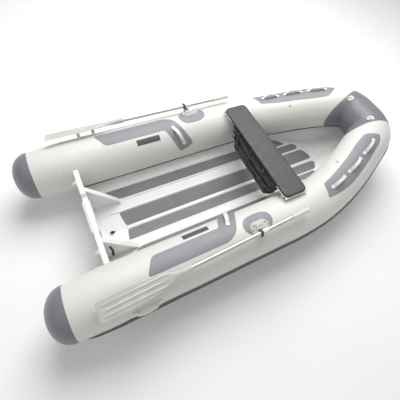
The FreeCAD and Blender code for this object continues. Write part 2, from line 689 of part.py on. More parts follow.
def oar_nodes():
    axis = V(1, 0, 0)

    def stowed(shape):
        """Turned about the lock's upright pin, then set in the boat."""
        return lock_frame(shape.rotate(V(LOCK_X, 0, 0), V(0, 0, 1), -STOW_ANGLE))

    def round_bar(r, x0, x1):
        return Part.makeCylinder(r, x1 - x0, V(x0, 0, OAR_R), axis)

    shaft = round_bar(SHAFT_R, -900, GRIP_X1 - 14).cut(round_bar(SHAFT_R - 1.6, -899, GRIP_X1 - 15))
    save_pair("oar_shaft", stowed(shaft))

    grip = round_bar(19.0, GRIP_X0, GRIP_X1).fuse(round_bar(22.0, GRIP_X0, GRIP_X0 + 8))
    grip = grip.fuse(round_bar(21.0, GRIP_X1 - 12, GRIP_X1))
    save_pair("oar_grip", stowed(grip.cut(round_bar(SHAFT_R, GRIP_X0 - 1, GRIP_X1 - 14))))

    sections = []
    for x, half, thick in ((-794, 20, 19.9), (-858, 20, 19.5), (-905, 34, 13), (-960, 58, 7),
                           (-1030, 67, 4.5), (-1150, BLADE_HALF, 4), (-1330, BLADE_HALF, 4),
                           (BLADE_X0, 68, 3.5)):
        middle = V(x, 0, OAR_R)
        ellipse = Part.Ellipse(middle + V(0, half, 0), middle + V(0, 0, thick), middle)
        sections.append(Part.Wire(ellipse.toShape()))
    blade = Part.makeLoft(sections, True, False)
    ribs = [box(-1360, -940, y - 3, y + 3, OAR_R - 7, OAR_R + 8) for y in (-34, 0, 34)]
    blade = blade.multiFuse(ribs).cut(round_bar(SHAFT_R, -900, BLADE_X1 + 10))
    save_pair("oar_blade", stowed(blade))

    collar = round_bar(22.0, LOCK_X - 20, LOCK_X + 42).fuse(round_bar(30.0, LOCK_X - 26, LOCK_X - 17))
    boss = Part.makeCylinder(10.0, 16.0, V(LOCK_X, 0, ROCK_R + 10.6))
    collar = collar.fuse(boss).cut(round_bar(SHAFT_R, LOCK_X - 60, LOCK_X + 60))
    collar = collar.cut(Part.makeCylinder(5.05, 13.0, V(LOCK_X, 0, ROCK_R + 8.0)))
    save_pair("oar_collar", stowed(collar))


# ---------------------------------------------------------------- seat
def seat_nodes():
    top = box(SEAT_X0, SEAT_X1, -SEAT_HALF, SEAT_HALF, SEAT_TOP - SEAT_T, SEAT_TOP)
    corners = [e for e in top.Edges if abs(e.tangentAt(e.FirstParameter).z) > 0.9]
    top = top.makeFillet(42.0, corners)
    rims = [e for e in top.Edges if abs(e.BoundBox.ZMax - SEAT_TOP) < 0.01 and e.BoundBox.ZLength < 0.01]
    save("seat_board", top.makeFillet(5.0, rims))

    under = SEAT_TOP - SEAT_T
    rail = box(SEAT_X0 + 1, SEAT_X1 - 1, 404, 549, under - RAIL_T, under)
    tube = Part.makeLoft([ring(s, TUBE_R + SKIN + 0.6) for s in steps(run_at(-50.0), run_at(450.0), 11)],
                         True, False)
    bolts = []
    for x in (SEAT_X0 + 17.0, SEAT_X1 - 41.0):
        rail = rail.fuse(box(x, x + 24, 470, 526, TUBE_Z + 100, under - RAIL_T))
    for x in (SEAT_X0 - 4.0, SEAT_X1 - 1.0):
        bolts.append(Part.makeCylinder(RAIL_T / 2 - 1.0, 5.0, V(x, 530, under - RAIL_T / 2), V(1, 0, 0)))
    save("seat_brackets", both(rail.cut(tube)))
    save("seat_bolts", both(Part.makeCompound(bolts)))

    def bag(inset):
        levels = []
        for z, grow, half in ((TUBE_Z - 96 + inset, 0, 300), (TUBE_Z - 70, 10, 322),
                              (TUBE_Z + 60, 22, 352), (under - 6.0 - inset, 0, 396)):
            x0, x1, y = SEAT_X0 + 6 - grow * 0.2 + inset, SEAT_X1 - 50 + grow - inset, half - inset
            levels.append(Part.makePolygon([V(x0, -y, z), V(x1, -y, z), V(x1, y, z), V(x0, y, z),
                                            V(x0, -y, z)]))
        return Part.makeLoft(levels, True, True)

    save("seat_bag", bag(0.0).cut(bag(2.0)))


tube_nodes()
strake_nodes()
side_patch_nodes()
bow_patch_nodes()
lifting_handles()
ring_nodes()
lashing_eyes()
valve_nodes()
hull_nodes()
floor_nodes()
drain_nodes()
transom_nodes()
lock_nodes()
oar_nodes()
seat_nodes()
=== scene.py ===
"""Looks of a rigid inflatable dinghy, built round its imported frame. Metres; X forward, Y to port, Z up."""
import json
import math
from functools import lru_cache

import bmesh
import bpy
from mathutils import Matrix, Vector, noise


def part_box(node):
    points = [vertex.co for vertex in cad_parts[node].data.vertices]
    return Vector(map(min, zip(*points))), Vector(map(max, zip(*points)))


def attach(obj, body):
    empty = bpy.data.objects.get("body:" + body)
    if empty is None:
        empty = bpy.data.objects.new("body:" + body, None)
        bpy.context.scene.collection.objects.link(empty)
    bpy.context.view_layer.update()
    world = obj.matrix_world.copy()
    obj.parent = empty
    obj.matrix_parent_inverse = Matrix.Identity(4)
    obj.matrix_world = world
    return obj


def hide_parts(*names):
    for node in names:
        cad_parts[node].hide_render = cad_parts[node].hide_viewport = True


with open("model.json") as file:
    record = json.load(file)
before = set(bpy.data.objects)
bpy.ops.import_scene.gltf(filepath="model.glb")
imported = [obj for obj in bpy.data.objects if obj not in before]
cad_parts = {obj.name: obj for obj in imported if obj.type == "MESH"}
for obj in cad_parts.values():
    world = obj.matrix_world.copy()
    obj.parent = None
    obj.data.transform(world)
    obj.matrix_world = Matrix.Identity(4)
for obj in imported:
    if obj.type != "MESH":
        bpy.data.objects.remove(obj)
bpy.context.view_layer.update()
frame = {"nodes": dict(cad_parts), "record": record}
NODES = frame["nodes"]

# ---------------------------------------------------------------- sizes, as in the CAD source
TUBE_R, TUBE_Y, TUBE_Z = 0.210, 0.602, 0.326
BOW_RISE, RISE_X0 = 0.173, 0.573
STERN_X, CONE_LENGTH, CONE_R, TAPER_X = -1.573, 0.140, 0.192, -1.287
BEND_X, BEND_R, BEND_ANGLE, SLANT, CORNER_R = 0.139, 2.300, math.radians(25.0), 0.286, 0.225
SEAM_X, SEAM_Y, SEAM_SKEW = 1.445, 0.209, math.radians(13.3)
KEEL_Z, DEADRISE, PLATE = 0.026, math.radians(19.6), 0.004
KEEL_UP_X, KEEL_UP = 1.050, 0.238
TRANSOM_X, TRANSOM_T = -1.290, 0.040
LOCK_X, LOCK_ANGLE, OAR_R, ROCK_R, SHAFT_R = -0.188, math.radians(26.0), 0.272, 0.232, 0.016
GRIP_X0, GRIP_X1, BLADE_X0, BLADE_X1, BLADE_HALF = 0.092, 0.253, -1.405, -0.794, 0.071
STOW_ANGLE = math.radians(2.0)
SEAT_X0, SEAT_X1, SEAT_HALF, SEAT_TOP, SEAT_T = 0.137, 0.358, 0.545, 0.586, 0.018
PATCH_T, BAND_W, BAND_T = 0.0016, 0.031, 0.006       # patches on the tubes, and the bands of the handles
STRAKE_HIGH, STRAKE_LOW = math.radians(88.0), math.radians(116.0)
STRAKE_END, STRAKE_GAP = 0.06, 0.0008                 # where it starts at the stern, and its joints
BOW_GRABS = ((0.715, 0.222), (0.960, 0.206), (1.180, 0.200))   # x of the middle, and length
LIFT_X, LIFT_LENGTH, LIFT_ANGLE = -1.221, 0.198, math.radians(76.0)
RING_Y, RING_ANGLE = 0.188, math.radians(-20.0)
BAG_HALF, BAG_FLARE = 0.300, 0.090                    # the bag's half length at the bottom, and how it grows
CLOTH_FRAMES, CLOTH_REACH = 20, 0.014


def smooth(value):
    value = min(max(value, 0.0), 1.0)
    return value * value * (3.0 - 2.0 * value)


def steps(start, end, count):
    return [start + (end - start) * i / (count - 1.0) for i in range(count)]


def turns(count):
    """Angles evenly round a circle."""
    return steps(0.0, 2 * math.pi * (1 - 1 / count), count)


def signed_power(value, exponent):
    return math.copysign(abs(value) ** exponent, value)


def last_where(low, high, test):
    """Largest value between low and high that still passes the test, by halving."""
    while high - low > 1e-5:
        mid = (low + high) / 2
        low, high = (mid, high) if test(mid) else (low, mid)
    return low


def ellipse(half_u, half_v, count):
    return [Vector((math.cos(a) * half_u, math.sin(a) * half_v)) for a in turns(count)]


# ---------------------------------------------------------------- the tube's centre line and skin
RUN_1 = BEND_X - STERN_X
RUN_2 = RUN_1 + BEND_R * BEND_ANGLE
RUN_3 = RUN_2 + SLANT
RUN_4 = RUN_3 + CORNER_R * (math.pi / 2 - BEND_ANGLE)


def plan(s):
    """Plan position of the port centre line, s along it from the stern seam."""
    if s <= RUN_1:
        return STERN_X + s, TUBE_Y
    bend = min(s - RUN_1, BEND_R * BEND_ANGLE) / BEND_R
    x = BEND_X + BEND_R * math.sin(bend)
    y = TUBE_Y - BEND_R * (1 - math.cos(bend))
    if s > RUN_2:
        slant = min(s - RUN_2, SLANT)
        x += slant * math.cos(bend)
        y -= slant * math.sin(bend)
    if s > RUN_3:
        turn = min(s - RUN_3, RUN_4 - RUN_3) / CORNER_R
        x += CORNER_R * (math.sin(bend + turn) - math.sin(bend))
        y -= CORNER_R * (math.cos(bend) - math.cos(bend + turn))
    return x, y - max(s - RUN_4, 0.0)


BOW_X = plan(RUN_4)[0]
BOW_S = RUN_4 + plan(RUN_4)[1]


def centre(s):
    side = 1.0
    if s > BOW_S:
        s, side = 2 * BOW_S - s, -1.0
    x, y = plan(s)
    return Vector((x, side * y, TUBE_Z + BOW_RISE * smooth((x - RISE_X0) / (BOW_X - RISE_X0))))


@lru_cache(maxsize=None)
def station(s):
    """Centre, radius, outboard and upward directions of the tube at s."""
    ahead = (centre(s + 0.012) - centre(s - 0.012)).normalized()
    out = Vector((-ahead.y, ahead.x, 0)).normalized()
    middle = centre(s)
    tail = min(max((TAPER_X - middle.x) / (TAPER_X - STERN_X), 0.0), 1.0)
    return middle, TUBE_R - (TUBE_R - CONE_R) * tail ** 1.3, out, ahead.cross(out)


def skin(s, angle, lift=0.0):
    """Point lift above the tube's skin, angle in radians from the crest, positive outboard."""
    middle, r, out, up = station(round(s, 5))
    return middle + (up * math.cos(angle) + out * math.sin(angle)) * (r + lift)


def on_skin(s, w, h):
    """The same, with the arc length w from the crest instead of the angle."""
    return skin(s, w / TUBE_R, h)


@lru_cache(maxsize=None)
def run_at(x):
    return last_where(0.0, RUN_4, lambda s: plan(s)[0] < x)


def run_at_y(y):
    return last_where(RUN_2, BOW_S, lambda s: plan(s)[1] > y)


# ---------------------------------------------------------------- materials
class Nodes:
    """A node tree being built: each call adds a node and links what is given to its inputs."""

    def __init__(self, name):
        self.material = bpy.data.materials.new(name)
        self.material.use_nodes = True
        self.tree = self.material.node_tree
        self.shader = self.tree.nodes["Principled BSDF"]
        self.place = self.add("ShaderNodeTexCoord").outputs["Object"]

    def add(self, kind, inputs=(), **settings):
        node = self.tree.nodes.new(kind)
        for key, value in settings.items():
            setattr(node, key, value)
        for key, value in dict(inputs).items():
            self.feed(node.inputs[key], value)
        return node

    def feed(self, socket, value):
        if isinstance(value, bpy.types.NodeSocket):
            self.tree.links.new(value, socket)
        else:
            socket.default_value = value

    def scaled(self, scale, turn=(0, 0, 0)):
        inputs = {"Vector": self.place, "Scale": scale, "Rotation": turn}
        return self.add("ShaderNodeMapping", inputs).outputs[0]

    def noise(self, scale, detail=3.0, vector=None, rough=0.5):
        return self.add("ShaderNodeTexNoise", {"Vector": vector or self.place, "Scale": scale,
                                               "Detail": detail, "Roughness": rough}).outputs["Fac"]

    def ramp(self, value, low, high, to=(0.0, 1.0)):
        return self.add("ShaderNodeMapRange", {"Value": value, "From Min": low, "From Max": high,
                                               "To Min": to[0], "To Max": to[1]}).outputs[0]

    def math(self, operation, a, b=0.0):
        return self.add("ShaderNodeMath", {0: a, 1: b}, operation=operation).outputs[0]

    def mix(self, factor, a, b):
        node = self.add("ShaderNodeMix", data_type="RGBA")
        self.feed(node.inputs[0], factor)
        self.feed(node.inputs[6], a)
        self.feed(node.inputs[7], b)
        return node.outputs[2]

    def bump(self, height, strength, distance, normal=None):
        inputs = {"Height": height, "Strength": strength, "Distance": distance}
        if normal is not None:
            inputs["Normal"] = normal
        return self.add("ShaderNodeBump", inputs).outputs[0]


def tone(color, factor):
    return tuple(min(c * factor, 1.0) for c in color[:3]) + (1.0,)


def finish_material(n, color, rough, normal, **constants):
    n.feed(n.shader.inputs["Base Color"], color)
    n.feed(n.shader.inputs["Roughness"], rough)
    if normal is not None:
        n.feed(n.shader.inputs["Normal"], normal)
    for key, value in constants.items():
        n.shader.inputs[key.replace("_", " ")].default_value = value
    return n.material


def coated_fabric(name, color, rough, dirt):
    """Welded boat fabric: faint weave under the coating, soft waves, handling marks."""
    n = Nodes(name)
    broad = n.noise(2.2, 4.0)
    marks = n.ramp(n.noise(9.0, 6.0, rough=0.62), 0.52, 0.78, (0.0, dirt * 6))
    base = n.mix(n.ramp(broad, 0.3, 0.7), tone(color, 1.0 - dirt * 0.6), tone(color, 1.0 + dirt * 0.4))
    base = n.mix(marks, base, tone(color, 1.0 - dirt * 1.6))
    weave = [n.add("ShaderNodeTexWave", {"Vector": n.scaled((1, 1, 1), turn), "Scale": 260.0},
                   wave_type="BANDS").outputs["Fac"] for turn in ((0.4, 0.9, 0.5), (-0.5, 0.3, -0.9))]
    height = n.math("ADD", n.math("MULTIPLY", *weave), n.math("MULTIPLY", n.noise(900.0, 2.0), 0.6))
    normal = n.bump(height, 0.12, 0.0004, n.bump(n.noise(7.0, 2.0), 0.10, 0.010))
    sheen = n.ramp(n.noise(14.0, 5.0), 0.3, 0.7, (rough - 0.05, rough + 0.07))
    return finish_material(n, base, sheen, normal, Sheen_Weight=0.12, Sheen_Roughness=0.5)


def moulded(name, color, rough=0.45, grain=0.25, scale=700.0, wear=0.25):
    """Moulded plastic or rubber: fine grain, paler rubbed edges, slight mottling."""
    n = Nodes(name)
    base = n.mix(n.ramp(n.noise(12.0, 5.0), 0.3, 0.7), tone(color, 0.93), tone(color, 1.05))
    edge = n.ramp(n.add("ShaderNodeNewGeometry").outputs["Pointiness"], 0.51, 0.58, (0.0, wear))
    rubbed = n.math("MULTIPLY", edge, n.ramp(n.noise(60.0, 4.0), 0.35, 0.65))
    lighter = tuple(c + (0.75 - c) * 0.35 for c in color[:3])
    base = n.mix(rubbed, base, tone(lighter, 1.0))
    height = n.add("ShaderNodeTexVoronoi", {"Vector": n.place, "Scale": scale}).outputs["Distance"]
    normal = n.bump(height, grain, 0.0004)
    rough = n.ramp(n.noise(30.0, 4.0), 0.3, 0.7, (rough - 0.06, rough + 0.08))
    return finish_material(n, base, rough, normal)


def powder_coat(name, color):
    """White powder coat on sheet metal: orange peel, scuffs and a little grime."""
    n = Nodes(name)
    base = n.mix(n.ramp(n.noise(3.0, 5.0), 0.35, 0.7), tone(color, 0.96), tone(color, 1.03))
    stretched = n.scaled((3.0, 22.0, 22.0))
    scuff = n.ramp(n.noise(4.0, 8.0, stretched, 0.7), 0.60, 0.74, (0.0, 0.35))
    base = n.mix(scuff, base, tone(color, 0.80))
    normal = n.bump(n.noise(420.0, 2.0), 0.10, 0.0006, n.bump(n.noise(5.0, 2.0), 0.05, 0.01))
    return finish_material(n, base, n.ramp(n.noise(9.0, 5.0), 0.3, 0.7, (0.30, 0.42)), normal,
                           Coat_Weight=0.15, Coat_Roughness=0.25)


def non_skid(name, color):
    """Floor pad: raised rounded studs in rows, coloured lighter than the gaps between them."""
    n = Nodes(name)
    cells = n.add("ShaderNodeTexVoronoi", {"Vector": n.scaled((1, 1, 1), (0, 0, 0.785)), "Scale": 130.0,
                                           "Randomness": 0.0}).outputs["Distance"]
    stud = n.ramp(cells, 0.25, 0.42, (1.0, 0.0))
    base = n.mix(n.ramp(n.noise(6.0, 5.0), 0.3, 0.7), tone(color, 0.88), tone(color, 1.08))
    base = n.mix(n.math("MULTIPLY", stud, 0.5), base, tone(color, 1.22))
    normal = n.bump(stud, 0.5, 0.0012, n.bump(n.noise(500.0, 3.0), 0.2, 0.0004))
    return finish_material(n, base, n.ramp(n.noise(20.0, 4.0), 0.3, 0.7, (0.62, 0.78)), normal)


def woven(name, color, scale=330.0):
    """Plain-weave synthetic cloth."""
    n = Nodes(name)
    bands = []
    for turn in ((0, 0, 0), (1.5708, 0, 0), (0, 0, 1.5708)):
        bands.append(n.add("ShaderNodeTexWave", {"Vector": n.scaled((1, 1, 1), turn), "Scale": scale,
                                                 "Distortion": 0.6, "Detail": 1.0},
                           bands_direction="Z").outputs["Fac"])
    weave = n.math("MULTIPLY", n.math("ADD", bands[0], bands[1]), bands[2])
    base = n.mix(n.ramp(n.noise(25.0, 5.0), 0.3, 0.7), tone(color, 0.85), tone(color, 1.18))
    # weave crests coloured lighter: partly the cloth's own pattern, partly a painted highlight on each crest
    base = n.mix(n.ramp(weave, 0.2, 1.2, (0.0, 0.5)), base, tone(color, 1.5))
    normal = n.bump(weave, 0.45, 0.0007, n.bump(n.noise(30.0, 3.0), 0.25, 0.004))
    return finish_material(n, base, n.ramp(n.noise(40.0, 3.0), 0.3, 0.7, (0.68, 0.84)), normal,
                           Sheen_Weight=0.35, Sheen_Roughness=0.45)


def metal(name, color, rough, stretch):
    """Brushed or turned metal, with scratches along one direction."""
    n = Nodes(name)
    lines = n.noise(30.0, 6.0, n.scaled(stretch), 0.7)
    base = n.mix(n.ramp(n.noise(16.0, 4.0), 0.3, 0.7), tone(color, 0.90), tone(color, 1.05))
    normal = n.bump(lines, 0.05, 0.0003)
    rough = n.ramp(lines, 0.3, 0.7, (rough - 0.04, rough + 0.06))
    return finish_material(n, base, rough, normal, Metallic=1.0)


CREAM = (0.735, 0.745, 0.695)
M = {
    "tube": coated_fabric("tube_fabric", CREAM, 0.40, 0.035),
    "seam": coated_fabric("seam_tape", tone(CREAM, 0.97), 0.46, 0.04),
    "panel": coated_fabric("panel_fabric", (0.205, 0.200, 0.225), 0.40, 0.08),
    "patch": coated_fabric("patch_fabric", (0.285, 0.277, 0.305), 0.47, 0.07),
    "strake": moulded("strake_rubber", (0.105, 0.105, 0.115), 0.55),
    "handle": moulded("handle_white", (0.80, 0.80, 0.77), 0.40, 0.15),
    "hull": powder_coat("hull_paint", (0.89, 0.90, 0.89)),
    "guard": moulded("guard_plastic", (0.06, 0.06, 0.065), 0.5),
    "pad": non_skid("pad_rubber", (0.215, 0.225, 0.225)),
    "motor_pad": moulded("motor_pad_plastic", (0.78, 0.78, 0.76), 0.45, 0.3, 300.0),
    "black": moulded("black_plastic", (0.022, 0.022, 0.024), 0.42),
    "plate": moulded("plate_rubber", (0.095, 0.095, 0.095), 0.6, 0.6, 260.0),
    "grey": moulded("grey_plastic", (0.50, 0.50, 0.50), 0.45),
    "cream": moulded("lock_plastic", (0.70, 0.705, 0.655), 0.42, 0.2),
    "blade": moulded("blade_plastic", (0.60, 0.605, 0.55), 0.42, 0.2),
    "grip": moulded("grip_plastic", (0.76, 0.76, 0.72), 0.5, 0.4, 420.0),
    "seat": moulded("seat_plastic", (0.066, 0.074, 0.072), 0.50, 0.5, 420.0, 0.12),
    "edge": moulded("seat_edge", (0.015, 0.016, 0.016), 0.5, 0.3),
    "bag": woven("bag_fabric", (0.018, 0.019, 0.020)),
    "webbing": woven("webbing", (0.004, 0.004, 0.005), 520.0),
    "steel": metal("steel", (0.62, 0.62, 0.63), 0.24, (8, 8, 60)),
    "alloy": metal("oar_alloy", (0.66, 0.67, 0.67), 0.50, (1.5, 40, 40)),
    "socket": metal("socket_metal", (0.60, 0.61, 0.62), 0.32, (40, 40, 8)),
}


# ---------------------------------------------------------------- mesh helpers
def new_object(name, data):
    obj = bpy.data.objects.new(name, data)
    bpy.context.scene.collection.objects.link(obj)
    return obj


def shaded(name, data, bm, material, sharp):
    """Object from a finished bmesh: one material, smooth up to the sharp angle."""
    bm.to_mesh(data)
    bm.free()
    data.materials.append(M[material])
    data.shade_smooth()
    data.set_sharp_from_angle(angle=math.radians(sharp))
    return new_object(name, data)


def make(name, verts, faces, material, sharp):
    data = bpy.data.meshes.new(name)
    data.from_pydata([tuple(v) for v in verts], [], faces)
    bm = bmesh.new()
    bm.from_mesh(data)
    bmesh.ops.remove_doubles(bm, verts=bm.verts, dist=1e-6)
    bmesh.ops.recalc_face_normals(bm, faces=bm.faces)
    return shaded(name, data, bm, material, sharp)


def keep(obj, body, nodes=()):
    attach(obj, body)
    if nodes:
        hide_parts(*nodes)
    return obj


def pair(obj, body="boat", nodes=()):
    """Keep a port piece, and make its mirror image for starboard."""
    data = obj.data.copy()
    data.transform(Matrix.Scale(-1.0, 4, (0, 1, 0)))
    data.flip_normals()
    twin = new_object(obj.name.replace("port", "starboard"), data)
    for piece, side in ((obj, "port"), (twin, "starboard")):
        keep(piece, body.format(side), [n.format(side) for n in nodes])
    return obj, twin


def join(name, objects):
    """Several meshes as one piece, with their materials."""
    bpy.ops.object.select_all(action="DESELECT")
    for obj in objects:
        obj.select_set(True)
    bpy.context.view_layer.objects.active = objects[0]
    bpy.ops.object.join()
    objects[0].name = objects[0].data.name = name
    return objects[0]


def loft(name, rows, material, ring=True, caps=True, sharp=35.0):
    """Quads between rows of points. ring closes each row; caps close the first and last row."""
    count = len(rows[0])
    verts = [p for row in rows for p in row]
    last = count if ring else count - 1
    faces = [(i * count + j, i * count + (j + 1) % count, (i + 1) * count + (j + 1) % count,
              (i + 1) * count + j) for i in range(len(rows) - 1) for j in range(last)]
    if ring and caps:
        faces += [tuple(range(count)), tuple(reversed(range(len(verts) - count, len(verts))))]
    return make(name, verts, faces, material, sharp)


def revolve(name, profile, origin, axis, material, count=40, sharp=35.0):
    """Turned piece. The profile is a list of (distance along the axis, radius)."""
    axis = Vector(axis).normalized()
    side = axis.orthogonal().normalized()
    other = axis.cross(side)
    rows = [[Vector(origin) + axis * t + (side * math.cos(a) + other * math.sin(a)) * max(r, 1e-5)
             for a in turns(count)] for t, r in profile]
    return loft(name, rows, material, sharp=sharp)


def rounded(points, radii, count=6):
    """Closed polygon with its corners turned into arcs. radii is one number or one per corner."""
    result = []
    for i, point in enumerate(points):
        r = radii[i] if isinstance(radii, (list, tuple)) else radii
        p, a, b = Vector(point), Vector(points[i - 1]), Vector(points[(i + 1) % len(points)])
        to_a, to_b = (a - p), (b - p)
        reach = min(r, to_a.length * 0.48, to_b.length * 0.48)
        if reach < 1e-6:
            result.append(p)
            continue
        start, end = p + to_a.normalized() * reach, p + to_b.normalized() * reach
        result += [start * (1 - t) ** 2 + p * 2 * t * (1 - t) + end * t * t for t in steps(0, 1, count)]
    return result


def offset(points, distance):
    """Closed polygon moved inwards, for an anticlockwise one."""
    moved = []
    for i, p in enumerate(points):
        ahead = (points[(i + 1) % len(points)] - points[i - 1]).normalized()
        moved.append(p + Vector((-ahead.y, ahead.x)) * distance)
    return moved


def clockwise(points):
    return sum(a.x * b.y - a.y * b.x for a, b in zip(points, points[1:] + points[:1])) < 0


def sheet(name, outline, thick, place, material, cell=0.02, edge=None, foot=0.0):
    """Slab of the given outline with a rounded rim. place turns (u, v, height) into a point."""
    outline = [Vector(p) for p in outline]
    if clockwise(outline):
        outline.reverse()
    edge = thick * 0.6 if edge is None else edge
    top = offset(outline, edge)
    bm = bmesh.new()
    bm.faces.new([bm.verts.new((p.x, p.y, 0)) for p in top])
    for axis in range(2):
        low, high = min(p[axis] for p in top), max(p[axis] for p in top)
        normal = (1, 0, 0) if axis == 0 else (0, 1, 0)
        for cut in steps(low, high, max(int((high - low) / cell), 1) + 2)[1:-1]:
            bmesh.ops.bisect_plane(bm, geom=bm.verts[:] + bm.edges[:] + bm.faces[:],
                                   plane_co=Vector(normal) * cut, plane_no=normal)
    bm.verts.index_update()
    verts = [place(v.co.x, v.co.y, thick) for v in bm.verts]
    faces = [tuple(v.index for v in f.verts) for f in bm.faces]
    start = next(e for e in bm.edges if e.is_boundary)
    loop, vert, link = [start.verts[0]], start.verts[1], start
    while vert is not loop[0]:
        loop.append(vert)
        link = next(e for e in vert.link_edges if e.is_boundary and e is not link)
        vert = link.other_vert(vert)
    flat = [Vector((v.co.x, v.co.y)) for v in loop]
    if clockwise(flat):
        flat.reverse()
        loop.reverse()
    before = [v.index for v in loop]
    for out, height in ((edge * 0.62, thick - edge * 0.12), (edge * 0.92, thick - edge * 0.45), (edge, foot)):
        ring = offset(flat, -out)
        now = list(range(len(verts), len(verts) + len(ring)))
        verts += [place(p.x, p.y, height) for p in ring]
        faces += [(before[i], before[(i + 1) % len(ring)], now[(i + 1) % len(ring)], now[i])
                  for i in range(len(ring))]
        before = now
    bm.free()
    return make(name, verts, faces, material, 50.0)


def ribbon_outline(spine, half, count):
    """Outline of a strip round a curve in the plane; both are functions of 0..1."""
    left, right = [], []
    for t in steps(0.0, 1.0, count):
        a, b = Vector(spine(max(t - 0.01, 0.0))), Vector(spine(min(t + 0.01, 1.0)))
        ahead = (b - a).normalized()
        side = Vector((-ahead.y, ahead.x)) * half(t)
        left.append(Vector(spine(t)) + side)
        right.append(Vector(spine(t)) - side)
    return right + left[::-1]


def flat(axis_u, axis_v, origin):
    """Placing function for a slab that lies in a plane."""
    u, v, o = Vector(axis_u), Vector(axis_v), Vector(origin)
    up = u.cross(v).normalized()
    return lambda a, b, h: o + u * a + v * b + up * h


def refine(node, material, bevel, segments=2):
    """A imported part's own shape with welded, softened edges."""
    sharp = 32.0
    bm = bmesh.new()
    bm.from_mesh(NODES[node].data)
    bmesh.ops.remove_doubles(bm, verts=bm.verts, dist=2e-6)
    bmesh.ops.dissolve_limit(bm, angle_limit=math.radians(1.0), verts=bm.verts, edges=bm.edges)
    edges = [e for e in bm.edges if e.is_manifold and e.calc_face_angle(0.0) > math.radians(sharp)]
    if bevel:
        bmesh.ops.bevel(bm, geom=edges, offset=bevel, segments=segments, profile=0.5, affect="EDGES",
                        clamp_overlap=True)
    bmesh.ops.triangulate(bm, faces=[f for f in bm.faces if len(f.verts) > 4])
    name = node + "_detail"
    return shaded(name, bpy.data.meshes.new(name), bm, material, sharp)


def body_of(node):
    return next(b for b, members in frame["record"]["behaviour"]["bodies"].items() if node in members)


def refined(nodes, material, slot=None, **settings):
    for node in nodes:
        keep(refine(node, material, **settings), body_of(node), [node])


# ---------------------------------------------------------------- air tubes
AROUND = turns(112)


def past_seam(p):
    """Distance of a point forward of the port seam plane between side tube and bow panel."""
    return (p.x - SEAM_X) * math.sin(SEAM_SKEW) - (p.y - SEAM_Y) * math.cos(SEAM_SKEW)


@lru_cache(maxsize=None)
def seam_s(angle):
    return last_where(RUN_2, BOW_S, lambda s: past_seam(skin(s, angle)) < 0)


def fabric_wave(s, angle):
    """Slight unevenness of welded fabric, tighter beside the seams."""
    p = Vector((s * 2.4, math.cos(angle), math.sin(angle)))
    return 0.0016 * noise.noise(p * 1.7) + 0.0007 * noise.noise(p * 5.0)


def side_tube():
    """Side tube; its last stretch is drawn out to end on the bow panel's seam plane."""
    rows = []
    for base in steps(0.0, 1.0, 150):
        row = []
        for a in AROUND:
            end = seam_s(a)
            s = base * RUN_3
            if s > RUN_2:
                s = RUN_2 + (s - RUN_2) / (RUN_3 - RUN_2) * (end - RUN_2)
            row.append(skin(s, a, fabric_wave(s, a) * smooth((end - s) / 0.08) * smooth(s / 0.08)))
        rows.append(row)
    return loft("tube_skin_port", rows, "tube", caps=False)


def tubes():
    pair(side_tube(), nodes=["tube_{}"])
    # bow panel, lapped over both side tubes
    rows = []
    for t in steps(0.0, 1.0, 61):
        row = []
        for a in AROUND:
            start = seam_s(a) - 0.006
            s = start + (2 * BOW_S - 2 * start) * t
            edge = min(t, 1 - t) * 60
            row.append(skin(s, a, 0.0003 + 0.0013 * smooth(edge) + fabric_wave(s, a) * smooth(edge / 6)))
        rows.append(row)
    keep(loft("bow_panel", rows, "panel", caps=False), "boat", ["tube_bow"])
    # end cones: rounded, with a seam ring
    profile = [(0.004, CONE_R + 0.0002), (0.0035, CONE_R + 0.0016)]
    for a in steps(0.0, math.pi / 2, 26):
        profile.append((-CONE_LENGTH * math.sin(a), (CONE_R + 0.0016) * max(math.cos(a), 0.0) ** 0.85))
    cone = revolve("end_cone_skin_port", profile, (STERN_X, TUBE_Y, TUBE_Z), (1, 0, 0), "panel", 96)
    pair(cone, nodes=["end_cone_{}"])


def strakes():
    """Ribbed rubbing strake. The profile runs across the strip: (share of width, height)."""
    profile = [(0.0, 0.0), (0.01, 0.004), (0.06, 0.0075), (0.16, 0.008), (0.20, 0.006), (0.24, 0.006),
               (0.29, 0.0105), (0.36, 0.0125), (0.43, 0.0115), (0.47, 0.0085), (0.53, 0.0085), (0.57, 0.0115),
               (0.64, 0.0125), (0.71, 0.0105), (0.76, 0.006), (0.80, 0.006), (0.84, 0.008), (0.94, 0.0075),
               (0.99, 0.004), (1.0, 0.0)]
    joint = RUN_3 - 0.040

    def strip(name, runs, tail):
        rows = []
        for s in runs:
            top = STRAKE_HIGH + math.radians(12.0) * (1 - smooth((s - STRAKE_END) / 0.30)) * tail
            shape = 0.35 + 0.65 * smooth((s - STRAKE_END) / 0.05) if tail else 1.0
            rows.append([skin(s, top + (STRAKE_LOW - top) * k, 0.001 + h * shape) for k, h in profile])
        return loft(name, rows, "strake", sharp=25)

    pair(strip("strake_rubber_port", steps(STRAKE_END, joint - STRAKE_GAP, 130), 1), nodes=["strake_{}"])
    bow_runs = steps(joint + STRAKE_GAP, 2 * BOW_S - joint - STRAKE_GAP, 90)
    keep(strip("strake_rubber_bow", bow_runs, 0), "boat", ["strake_bow"])


